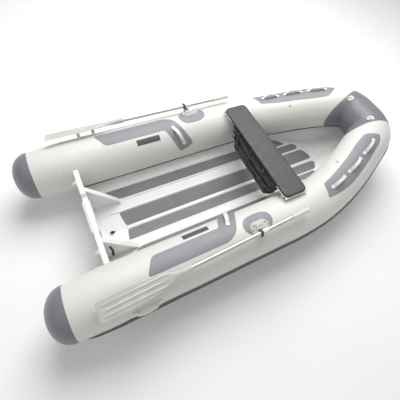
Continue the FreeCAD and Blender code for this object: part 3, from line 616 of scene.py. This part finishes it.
# ---------------------------------------------------------------- patches and handles on the tubes
def arch(name, spine, width, height, thick, base=0.0036, flare=0.18, blunt=0.7):
    """Grab handle: a soft-edged band that rises between two flattened feet."""
    rows = []
    for t in steps(0.0, 1.0, 34):
        s0, w0 = spine(max(t - 0.01, 0.0))
        s1, w1 = spine(min(t + 0.01, 1.0))
        s, w = spine(t)
        foot = on_skin(s, w, 0.0)
        normal = (on_skin(s, w, 0.01) - foot).normalized()
        across = normal.cross(on_skin(s1, w1, 0) - on_skin(s0, w0, 0)).normalized()
        inner = (t - 0.14) / 0.72
        up = height * math.sin(math.pi * inner) ** blunt if 0 < inner < 1 else 0.0
        grow = 1.0 + flare * (1 - smooth(min(t, 1 - t) / 0.2))
        end = smooth(min(t, 1 - t) / 0.05) ** 0.5
        row = []
        for a in turns(16):
            c, q = math.cos(a), math.sin(a)
            dx = signed_power(c, 0.6) * width / 2 * grow * (0.55 + 0.45 * end)
            dz = signed_power(q, 0.7) * thick / 2 * (0.35 + 0.65 * end)
            row.append(foot + across * dx + normal * (base + up + thick / 2 * (0.35 + 0.65 * end) + dz))
        rows.append(row)
    return loft(name, rows, "handle", sharp=50)


def side_spine(t):
    """L-shaped patch: along the crest, round a corner and down the inboard side."""
    leg, flat_run, down, bend_r = math.radians(67.3), 0.545, 0.248, 0.085
    arc = bend_r * leg
    run = t * (flat_run + arc + down)
    s = run_at(-1.025) + min(run, flat_run)
    if run <= flat_run:
        return s, 0.0
    turn = min((run - flat_run) / arc, 1.0) * leg
    straight = max(run - flat_run - arc, 0.0)
    return (s + bend_r * math.sin(turn) + straight * math.cos(leg),
            -bend_r * (1 - math.cos(turn)) - straight * math.sin(leg))


def side_details():
    count, radius = 100, 0.036
    outline = ribbon_outline(side_spine, lambda t: 0.069 + 0.004 * smooth(3 * t - 2), count)
    outline[0] = outline[0] + Vector((radius, 0.0))
    outline[-1] = outline[-1] - Vector((radius, 0.0))
    corners = (0, count - 1, count, 2 * count - 1)
    clear = [i for i in range(2 * count) if i in corners or min(abs(i - corner) for corner in corners) > 11]
    outline = rounded([outline[i] for i in clear], [radius if i in corners else 0.0 for i in clear])
    patch = sheet("side_patch_skin_port", outline, PATCH_T, on_skin, "patch")
    pair(patch, nodes=["side_patch_{}"])

    spine = lambda t: (run_at(-0.396) + 0.070 * t, TUBE_R * math.radians(-14.0 - 52.0 * t))
    pair(arch("side_grab_port", spine, BAND_W, 0.030, BAND_T), nodes=["side_handle_{}"])

    a0, a1 = math.radians(-39.5) * TUBE_R, math.radians(-25.5) * TUBE_R
    s0, s1 = run_at(-0.740), run_at(-0.534)
    outline = rounded([(s0, a0), (s1, a0), (s1, a1), (s0, a1)], 0.004)
    rim = 0.008
    inner = rounded([(s0 + rim, a0 + rim), (s1 - rim, a0 + rim), (s1 - rim, a1 - rim), (s0 + rim, a1 - rim)],
                    0.003)
    plate = sheet("blank_plate_port", outline, 0.0022, on_skin, "plate", 0.03)
    raised = sheet("raised", inner, 0.0030, on_skin, "plate", 0.03)
    pair(join("blank_plate_port", [plate, raised]), nodes=["rating_plates"])


def bow_details():
    corners = [(0.568, -0.026), (0.870, -0.048), (1.144, -0.066), (1.271, -0.051), (1.347, 0.070),
               (1.293, 0.114), (0.794, 0.143), (0.517, 0.103)]
    outline = rounded([(run_at(x), w) for x, w in corners],
                      [0.020, 0.130, 0.060, 0.030, 0.025, 0.040, 0.130, 0.025], 10)
    pair(sheet("bow_patch_skin_port", outline, PATCH_T, on_skin, "patch"), nodes=["bow_patch_{}"])
    parts = []
    for x, length in BOW_GRABS:
        parts.append(arch("grab", lambda t: (run_at(x) + length * (t - 0.5), 0.047), BAND_W, 0.040, BAND_T))
    pair(join("bow_grabs_port", parts), nodes=["bow_handles_{}"])


def lifting_handles():
    spine = lambda t: (run_at(LIFT_X) + LIFT_LENGTH * t, TUBE_R * LIFT_ANGLE)
    parts = [arch("lift", spine, 0.028, 0.019, 0.013, base=0.003, flare=0.1, blunt=0.3)]
    for t in (0.08, 0.92):
        s, w = spine(t)
        oval = rounded([(-0.025, -0.020), (0.025, -0.020), (0.025, 0.020), (-0.025, 0.020)], 0.019)
        parts.append(sheet("boss", oval, 0.010, lambda u, v, h: on_skin(s + u, w + v, h + 0.001), "handle",
                           0.03, edge=0.005))
        foot = on_skin(s, w, 0.012)
        normal = (on_skin(s, w, 0.03) - foot).normalized()
        head = [(-0.002, 0.006), (0.0015, 0.006), (0.0025, 0.004), (0.0026, 0.0)]
        parts.append(revolve("screw", head, foot, normal, "grey", 20))
    pair(join("lifting_grab_port", parts), nodes=["lifting_handle_{}"])


def fittings():
    """Towing rings, lashing eyes and valves."""
    refined(["bow_ring_port", "bow_ring_starboard"], "steel", "steel", bevel=0.0)
    refined(["bow_ring_bases"], "handle", bevel=0.0010)
    refined(["lashing_eyes"], "handle", bevel=0.0005)
    s = run_at_y(RING_Y)
    w = RING_ANGLE * TUBE_R
    pair(sheet("ring_patch_port", ellipse(0.034, 0.034, 36), PATCH_T,
               lambda u, v, h: on_skin(s + u, w + v, h + PATCH_T), "handle"))
    refined(["valve_bodies"], "grey", bevel=0.0008)
    refined(["valve_cap_port", "valve_cap_starboard"], "grey", bevel=0.0012)


# ---------------------------------------------------------------- hull
def keel_z(x):
    rise = max(x - KEEL_UP_X, 0.0) / (BOW_X - 0.054 - KEEL_UP_X)
    return KEEL_Z + KEEL_UP * rise ** 1.3


def rim(s):
    angle = -math.radians(132.0 + 33.0 * smooth((s - run_at(0.400)) / (RUN_3 - run_at(0.400))))
    return skin(s, angle, 0.0015)


def hull_row(s):
    """Half section from the keel to the rim, with a soft chine."""
    edge = rim(s)
    x = edge.x
    keel = Vector((x, 0, keel_z(x)))
    chine_y = edge.y * (0.93 - 0.25 * smooth((x - 0.600) / 0.600))
    chine_z = keel.z + chine_y * math.tan(DEADRISE) * (1 - 0.35 * smooth((x - KEEL_UP_X) / 0.350))
    chine = Vector((x, chine_y, min(chine_z, edge.z - 0.004)))
    points = [keel.lerp(chine, t) for t in steps(0.0, 0.93, 14)]
    points += [points[-1] * (1 - t) ** 2 + chine * 2 * t * (1 - t) + chine.lerp(edge, 0.25) * t * t
               for t in steps(0.0, 1.0, 6)[1:]]
    points += [chine.lerp(edge, t) for t in steps(0.25, 1.0, 6)[1:]]
    return points


def floor_place(x, y, h):
    """Point h above the port side of the V floor, y measured along the floor."""
    return Vector((x, y * math.cos(DEADRISE) - h * math.sin(DEADRISE),
                   KEEL_Z + y * math.sin(DEADRISE) + h * math.cos(DEADRISE)))


def hull():
    rows = []
    for s in steps(run_at(TRANSOM_X) + 0.001, RUN_4, 120):
        half = hull_row(s)
        inner = [Vector((p.x, -p.y, p.z)) for p in half[:0:-1]] + half
        outer = [p + Vector((0, math.copysign(0.001, p.y), -PLATE)) for p in reversed(inner)]
        rows.append(inner + outer)
    keep(loft("hull_shell", rows, "hull", sharp=28), "boat", ["hull_plate"])

    # painted shadow: a black cord in the joint between the hull's rim and the tube, then a little above it on
    # the tube at the bow, standing in for the shadowed gap under the tube
    path = []
    for s in steps(run_at(TRANSOM_X + TRANSOM_T) + 0.004, RUN_4 - 0.01, 150):
        path.append(skin(s, -math.radians(130.6 - 9.0 * smooth((s - run_at(0.200)) / 0.4)), 0.0032))
    pair(cord_tube("hull_seal_port", path, 0.0045, "black"))

    pads = {
        "inner": ([(-1.030, 0.022), (1.020, 0.022), (1.040, 0.045), (1.000, 0.110), (0.965, 0.150),
                   (-1.053, 0.150)], [0.020, 0.020, 0.02, 0.04, 0.04, 0.020]),
        "outer": ([(-0.998, 0.268), (0.805, 0.268), (0.725, 0.335), (0.640, 0.360), (-1.110, 0.360)],
                  [0.020, 0.03, 0.06, 0.05, 0.016]),
        "bow": ([(0.420, 0.174), (0.925, 0.174), (0.935, 0.210), (0.885, 0.246), (0.420, 0.246)],
                [0.012, 0.03, 0.03, 0.03, 0.012])}
    for name, (outline, radii) in pads.items():
        pair(sheet("pad_%s_port" % name, rounded(outline, radii), 0.0032, floor_place, "pad", 0.05,
                   edge=0.0016), nodes=["floor_pads_" + name])
    parts = []
    high, half = 0.0080, 0.0085
    section = [(-1.0, 0.0), (-0.86, 0.35), (-0.6, 0.86), (-0.25, 1.0), (0.25, 1.0), (0.6, 0.86), (0.86, 0.35),
               (1.0, 0.0)]
    for y, aft, fore in ((0.162, -1.150, 1.010), (0.258, -0.995, 0.905), (0.372, -1.120, 0.560)):
        rows = []
        for x in steps(aft, fore, 40):
            end = smooth(min(x - aft, fore - x) / 0.03)
            rows.append([floor_place(x, y + half * k, 0.0002 + high * (0.15 + 0.85 * end) * h)
                         for k, h in section])
        parts.append(loft("rib", rows, "hull", sharp=60))
    pair(join("floor_ridges_port", parts), nodes=["floor_ribs"])
    refined(["keelson"], "hull", bevel=0.002)
    refined(["keel_guard"], "guard", bevel=0.002)


def stern():
    refined(["transom"], "hull", bevel=0.005, segments=3)
    refined(["transom_knee_port", "transom_knee_starboard"], "hull", bevel=0.0012)
    refined(["motor_pad_inner", "motor_pad_outer"], "motor_pad", bevel=0.002)
    refined(["tow_eyes"], "hull", bevel=0.0008)
    refined(["drain_socket"], "socket", bevel=0.0006)
    refined(["drain_plug"], "black", bevel=0.0010)
    # weld beads along the knees' joints with the transom and the floor
    front = TRANSOM_X + TRANSOM_T
    low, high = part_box("transom_knee_port")
    beads = []
    for x0, z0, x1, z1 in ((front, low.z + 0.01, front, high.z - 0.012),
                           (front, low.z, high.x - 0.02, low.z)):
        path = [Vector((x0 + (x1 - x0) * t, 0.2405, z0 + (z1 - z0) * t)) for t in steps(0, 1, 60)]
        rows = []
        for i, p in enumerate(path):
            r = 0.0032 + 0.0007 * math.sin(i * 1.9)
            a, b = Vector((1, 0, 0) if x0 == x1 else (0, 0, 1)), Vector((0, 1, 0))
            rows.append([p + (a * math.cos(k) + b * math.sin(k)) * r for k in steps(0, 5.5, 8)])
        beads.append(loft("bead", rows, "hull", sharp=60))
    pair(join("weld_beads_port", beads))
    # painted shadow: a black sheet on the outboard face of each knee, standing in for the shadowed gap beside
    # the transom
    strip = rounded([(0.030, 0.135), (0.052, 0.130), (0.056, 0.230), (0.040, 0.322), (0.026, 0.300),
                     (0.040, 0.225)], 0.03, 8)
    place = flat((1, 0, 0), (0, 0, 1), (front, 0.2432, 0))
    pair(sheet("knee_strip_port", strip, 0.002, lambda u, v, h: place(u, v, -h), "black", 0.03))
    # faint round reinforcement where the transom's shoulder meets the tube
    s = run_at(TRANSOM_X + 0.02)
    w = -0.185
    pair(sheet("transom_patch_port", ellipse(0.092, 0.080, 48), 0.0014,
               lambda u, v, h: on_skin(s + u, w + v, h + 0.0004), "seam"))


# ---------------------------------------------------------------- oars and locks
def lock_point(x, y, z):
    """From the lock's own axes (z away from the tube's centre line) to the boat's."""
    c, q = math.cos(LOCK_ANGLE), math.sin(LOCK_ANGLE)
    return Vector((x, TUBE_Y + y * c + z * q, TUBE_Z - y * q + z * c))


LOCK_UP = Vector((0, math.sin(LOCK_ANGLE), math.cos(LOCK_ANGLE)))


def turned(name, profile, material, count=40):
    """Piece turned about the oar's axis; the profile is (x, radius)."""
    return revolve(name, profile, lock_point(0, 0, OAR_R), (1, 0, 0), material, count)


def locks():
    s = run_at(LOCK_X + 0.018)
    outline = [Vector((0.125 * signed_power(math.cos(a), 0.8), 0.082 * signed_power(math.sin(a), 0.8)))
               for a in turns(64)]
    pair(sheet("lock_patch_port", outline, PATCH_T, lambda u, v, h: on_skin(s + u, 0.018 + v, h), "patch"),
         nodes=["lock_patches"])
    for side in ("port", "starboard"):
        refined(["lock_base_" + side], "cream", "lock_plastic", bevel=0.0022, segments=3)
        refined(["lock_yoke_" + side], "steel", "steel", bevel=0.0006)
    screws = []
    head = [(-0.003, 0.0055), (0.0012, 0.0055), (0.0022, 0.0040), (0.0010, 0.0022), (0.0009, 0.0)]
    for x, y in ((LOCK_X - 0.056, -0.034), (LOCK_X + 0.084, -0.034), (LOCK_X - 0.038, -0.062),
                 (LOCK_X + 0.066, -0.062)):
        screws.append(revolve("screw", head, lock_point(x, y, TUBE_R + 0.012), LOCK_UP, "black", 20))
    pair(join("lock_screws_port", screws))
    refined(["blade_rests"], "cream", bevel=0.002)


def oar_pair(obj, node):
    """Turn a port piece about the lock's upright pin to the stowed angle, and keep it on both sides."""
    pin = Matrix.Translation(lock_point(LOCK_X, 0, 0))
    obj.data.transform(pin @ Matrix.Rotation(-STOW_ANGLE, 4, LOCK_UP) @ pin.inverted())
    pair(obj, "oar_{}", [node + "_{}"])


def oars():
    shaft = [(-0.900, SHAFT_R - 0.0015), (-0.900, SHAFT_R - 0.0004), (-0.899, SHAFT_R)]
    shaft += [(x, SHAFT_R) for x in steps(-0.88, GRIP_X1 - 0.030, 24)]
    shaft += [(GRIP_X1 - 0.0155, SHAFT_R), (GRIP_X1 - 0.015, SHAFT_R - 0.001)]
    oar_pair(turned("oar_tube_port", shaft, "alloy"), "oar_shaft")

    profile = [(GRIP_X0, SHAFT_R + 0.0002), (GRIP_X0, 0.0205), (GRIP_X0 + 0.0015, 0.0220),
               (GRIP_X0 + 0.007, 0.0220), (GRIP_X0 + 0.009, 0.0200)]
    x = GRIP_X0 + 0.012
    while x < GRIP_X1 - 0.022:
        profile += [(x, 0.0188), (x + 0.0012, 0.0196), (x + 0.0052, 0.0196), (x + 0.0064, 0.0188)]
        x += 0.0085
    profile += [(GRIP_X1 - 0.014, 0.0200), (GRIP_X1 - 0.011, 0.0210), (GRIP_X1 - 0.003, 0.0206),
                (GRIP_X1 - 0.0006, 0.0185), (GRIP_X1, 0.0150), (GRIP_X1, 0.0)]
    oar_pair(turned("oar_grip_skin_port", profile, "grip"), "oar_grip")

    rows = []
    shape = [(BLADE_X1, 0.0202, 0.0200), (-0.800, 0.0206, 0.0204), (-0.858, 0.0205, 0.0196),
             (-0.905, 0.030, 0.013), (-0.960, 0.047, 0.0072), (-1.030, 0.061, 0.0048),
             (-1.150, BLADE_HALF, 0.0042), (-1.330, BLADE_HALF, 0.0040),
             (-1.388, BLADE_HALF - 0.001, 0.0036), (-1.400, 0.066, 0.0032), (BLADE_X0, 0.058, 0.0022)]
    dense = []
    for (x0, h0, t0), (x1, h1, t1) in zip(shape, shape[1:]):
        parts = max(int(abs(x1 - x0) / 0.012), 1)
        dense += [(x0 + (x1 - x0) * i / parts, h0 + (h1 - h0) * smooth(i / parts), t0 + (t1 - t0) * i / parts)
                  for i in range(parts)]
    dense.append(shape[-1])
    for x, half, thick in dense:
        share = smooth((-0.93 - x) / 0.06) * smooth((x - BLADE_X0 - 0.025) / 0.03)
        row = []
        for a in turns(72):
            c, q = math.cos(a), math.sin(a)
            y = half * signed_power(c, 0.9)
            z = thick * signed_power(q, 0.75)
            ridge = sum(math.exp(-((y - m) / 0.0042) ** 2) for m in (-0.036, 0.0, 0.036))
            z += math.copysign(0.0055 * ridge * share, q) if abs(q) > 0.05 else 0.0
            row.append(lock_point(x, y, OAR_R + z))
        rows.append(row)
    blade = loft("oar_blade_skin_port", rows, "blade", sharp=60)
    ferrule = turned("ferrule", [(-0.802, 0.0200), (-0.801, 0.0228), (-0.786, 0.0228), (-0.784, 0.0205),
                                 (-0.776, 0.0200), (-0.775, 0.0162)], "blade")
    oar_pair(join("oar_blade_skin_port", [blade, ferrule]), "oar_blade")

    x0 = LOCK_X - 0.020
    profile = [(x0 - 0.006, SHAFT_R + 0.0002), (x0 - 0.006, 0.0285), (x0 - 0.0045, 0.0300),
               (x0 + 0.0015, 0.0300), (x0 + 0.003, 0.0285), (x0 + 0.004, 0.0225), (x0 + 0.012, 0.0220)]
    black = turned("ring", profile + [(x0 + 0.012, SHAFT_R)], "black", 48)
    x1 = LOCK_X + 0.042
    sleeve = turned("sleeve", [(x0 + 0.012, SHAFT_R), (x0 + 0.012, 0.0218), (x1 - 0.004, 0.0218),
                               (x1 - 0.0015, 0.0212), (x1, 0.0195), (x1, SHAFT_R)], "handle", 48)
    boss = revolve("boss", [(0.0, 0.0051), (0.0, 0.0094), (0.0008, 0.0100), (0.018, 0.0100)],
                   lock_point(LOCK_X, 0, ROCK_R + 0.0106), LOCK_UP, "black", 32)
    oar_pair(join("oar_collar_skin_port", [black, sleeve, boss]), "oar_collar")


# ---------------------------------------------------------------- bench and bag
def bench():
    middle = (SEAT_X0 + SEAT_X1) / 2
    half_x = (SEAT_X1 - SEAT_X0) / 2
    corners = [(-half_x, -SEAT_HALF), (half_x, -SEAT_HALF), (half_x, SEAT_HALF), (-half_x, SEAT_HALF)]
    place = flat((1, 0, 0), (0, 1, 0), (middle, 0, SEAT_TOP - SEAT_T))
    board = sheet("board", rounded(corners, 0.050, 12), SEAT_T - 0.0012, place, "edge", 0.05, edge=0.005)
    inset = [(x * (1 - 0.007 / half_x), y * (1 - 0.007 / SEAT_HALF)) for x, y in corners]
    top = sheet("top", rounded(inset, 0.045, 12), SEAT_T, place, "seat", 0.05, edge=0.0016,
                foot=SEAT_T - 0.004)
    keep(join("bench_board", [board, top]), "boat", ["seat_board"])
    refined(["seat_brackets"], "hull", bevel=0.0012)
    refined(["seat_bolts"], "black", bevel=0.0015)


def bag_shape():
    """Soft bag under the bench: full at the top, hanging to a narrower, folded bottom."""
    low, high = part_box("seat_bag")
    rows = []
    for t in steps(0.0, 1.0, 14):
        z = low.z + 0.012 + (high.z - low.z - 0.020) * t
        half = BAG_HALF + BAG_FLARE * t ** 0.8
        x0, x1 = low.x + 0.008, high.x - 0.016 - 0.020 * (1 - t)
        rows.append([Vector((p.x, p.y, z)) for p in
                     rounded([(x0, -half), (x1, -half), (x1, half), (x0, half)], 0.05, 6)])
    return loft("under_seat_bag", rows, "bag"), low, high


def apply_all(obj):
    graph = bpy.context.evaluated_depsgraph_get()
    data = bpy.data.meshes.new_from_object(obj.evaluated_get(graph))
    obj.modifiers.clear()
    obj.data = data


def bag():
    obj, low, high = bag_shape()
    remesh = obj.modifiers.new("remesh", "REMESH")
    remesh.mode, remesh.voxel_size = "VOXEL", 0.010
    apply_all(obj)
    before = [v.co.copy() for v in obj.data.vertices]
    cloth = obj.modifiers.new("cloth", "CLOTH")
    settings = cloth.settings
    settings.quality = 4
    settings.use_pressure = True
    settings.uniform_pressure_force = 2.5
    settings.tension_stiffness = settings.compression_stiffness = 12.0
    settings.bending_stiffness = 0.4
    settings.effector_weights.gravity = 0.35
    pins = obj.vertex_groups.new(name="held")
    top = [v.index for v in obj.data.vertices if v.co.z > high.z - 0.022]
    pins.add(top, 1.0, "REPLACE")
    settings.vertex_group_mass = "held"
    cloth.point_cache.frame_start, cloth.point_cache.frame_end = 1, CLOTH_FRAMES
    for number in range(1, CLOTH_FRAMES + 1):
        bpy.context.scene.frame_set(number)
    apply_all(obj)
    for v, old in zip(obj.data.vertices, before):
        move = v.co - old
        v.co = old + (move if move.length < CLOTH_REACH else move.normalized() * CLOTH_REACH)
    bpy.context.scene.frame_set(1)
    # slack panels, long folds along the bag, creases and an uneven bottom edge
    normals = [v.normal.copy() for v in obj.data.vertices]
    for v, n in zip(obj.data.vertices, normals):
        p = v.co
        t = (p.z - low.z) / (high.z - low.z)
        slack = noise.noise(Vector((p.x * 4, p.y * 3.2, p.z * 5 + 0.3)))
        crease = abs(noise.noise(Vector((p.x * 5, p.y * 5.0 + p.z * 9.0, p.z * 16 - p.y * 2.0))))
        fold = abs(math.sin(math.pi * (3.4 * t + 0.5 * noise.noise(Vector((p.x * 3, p.y * 2.6, 1.7))))))
        depth = 0.010 * slack - 0.012 * max(0.16 - crease, 0.0) / 0.16 + 0.020 * (fold ** 0.6 - 0.75)
        if abs(n.z) < 0.6:
            depth *= smooth(t * 5) * smooth((1 - t) * 7)
        v.co = p + n * (depth - 0.003)
        v.co.z += 0.045 * smooth(1 - t * 2.2) * max(noise.noise(Vector((p.y * 9.0, p.x * 4, 5.1))), 0.0)
        v.co.x = min(max(v.co.x, low.x), high.x)
        v.co.z = min(max(v.co.z, low.z), high.z)
    subdivision = obj.modifiers.new("subdivision", "SUBSURF")
    subdivision.levels = subdivision.render_levels = 1
    apply_all(obj)
    obj.data.shade_smooth()
    keep(obj, "boat", ["seat_bag"])
    bag_trim(low, high)


def heading(path, i):
    return (path[min(i + 1, len(path) - 1)] - path[max(i - 1, 0)]).normalized()


def cord_tube(name, path, r, material):
    """Round cord along a list of points."""
    rows = []
    for i, p in enumerate(path):
        ahead = heading(path, i)
        side = ahead.orthogonal().normalized() if not rows else (old - ahead * old.dot(ahead)).normalized()
        old = side
        other = ahead.cross(side)
        rows.append([p + (side * math.cos(a) + other * math.sin(a)) * r for a in turns(10)])
    return loft(name, rows, material, sharp=80)


def strap(name, path, across, width, thick):
    """Flat webbing along a list of points."""
    rows = []
    for i, p in enumerate(path):
        ahead = heading(path, i)
        side = Vector(across) - ahead * ahead.dot(Vector(across))
        side.normalize()
        up = ahead.cross(side)
        rows.append([p + side * a * width / 2 + up * b * thick / 2 for a, b in (
            (-1, -0.6), (-0.96, -1), (0.96, -1), (1, -0.6), (1, 0.6), (0.96, 1), (-0.96, 1), (-1, 0.6))])
    return loft(name, rows, "webbing", sharp=60)


def bag_trim(low, high):
    """Piping, hanging straps and buckles on the aft side of the bag."""
    parts = []
    for t in (0.92, 0.74, 0.54):
        half = BAG_HALF + BAG_FLARE * t ** 0.8
        z = low.z + (high.z - low.z) * t
        path = [Vector((low.x + 0.006 + 0.003 * noise.noise(Vector((k * 7, t, 3))), -half + 2 * half * k,
                        z + 0.006 * noise.noise(Vector((k * 5, t * 9, 0))))) for k in steps(0.03, 0.97, 60)]
        parts.append(cord_tube("piping", path, 0.0055, "webbing"))
    for y, length in ((-0.21, 0.20), (0.02, 0.24), (0.23, 0.20)):
        path = [Vector((low.x + 0.002 + 0.006 * math.sin(k * 5.0 + y * 9), y + 0.012 * math.sin(k * 3 + y),
                        high.z - 0.004 - length * k)) for k in steps(0.0, 1.0, 26)]
        parts.append(strap("strap", path, (0, 1, 0), 0.030, 0.0022))
        z = high.z - 0.10
        place = flat((0, 1, 0), (0, 0, 1), (low.x + 0.003, y + 0.006, z))
        body = rounded([(-0.020, -0.026), (0.020, -0.026), (0.023, 0.026), (-0.023, 0.026)], 0.006)
        parts.append(sheet("buckle", body, 0.006, lambda u, v, h: place(u, v, -h), "black", 0.03, edge=0.002))
    keep(join("bag_straps", parts), "boat", ())


# ---------------------------------------------------------------- stage
def stage():
    floor = bpy.data.meshes.new("floor")
    floor.from_pydata([(-40, -40, -0.001), (40, -40, -0.001), (40, 40, -0.001), (-40, 40, -0.001)], [],
                      [(0, 1, 2, 3)])
    n = Nodes("floor_pale")
    base = n.mix(n.ramp(n.noise(1.5, 3.0), 0.3, 0.7), (0.93, 0.93, 0.93, 1), (0.95, 0.95, 0.95, 1))
    floor.materials.append(finish_material(n, base, 0.9, None))
    new_object("floor", floor)

    world = bpy.data.worlds.new("studio")
    bpy.context.scene.world = world
    world.use_nodes = True
    light = world.node_tree.nodes["Background"].inputs
    light["Color"].default_value = (1.0, 1.0, 1.0, 1.0)
    light["Strength"].default_value = 0.42
    aim = Vector((0, 0, 0.3))
    for name, spot, size, power in (("key", (1.0, 2.2, 5.2), 4.5, 320.0),
                                    ("fill", (-4.5, -1.5, 3.2), 4.0, 22.0)):
        data = bpy.data.lights.new(name, "AREA")
        data.size, data.energy = size, power
        lamp = new_object(name, data)
        lamp.location = spot
        lamp.rotation_mode = "QUATERNION"
        lamp.rotation_quaternion = (aim - Vector(spot)).to_track_quat("-Z", "Y")
    bpy.context.scene.view_settings.view_transform = "Standard"


def camera():
    azimuth, elevation, roll = math.radians(-41.16), math.radians(51.746), math.radians(15.172)
    target, distance = Vector((0.058, 0.0, 0.326)), 3.159
    back = Vector((math.sin(azimuth) * math.cos(elevation), -math.cos(azimuth) * math.cos(elevation),
                   math.sin(elevation)))
    right = Vector((math.cos(azimuth), math.sin(azimuth), 0))
    up = back.cross(right)
    turned_right = right * math.cos(roll) + up * math.sin(roll)
    turned_up = up * math.cos(roll) - right * math.sin(roll)
    data = bpy.data.cameras.new("camera")
    data.sensor_width, data.lens = 36.0, 30.40
    data.shift_x, data.shift_y = -0.101, -0.0752
    cam = new_object("camera", data)
    place = Matrix((turned_right, turned_up, back)).transposed().to_4x4()
    place.translation = target + back * distance
    cam.matrix_world = place
    bpy.context.scene.camera = cam


tubes()
strakes()
side_details()
bow_details()
lifting_handles()
fittings()
hull()
stern()
locks()
oars()
bench()
bag()
baffles = NODES["chamber_baffles"].data.materials
baffles.clear()
baffles.append(M["seam"])
stage()
camera()
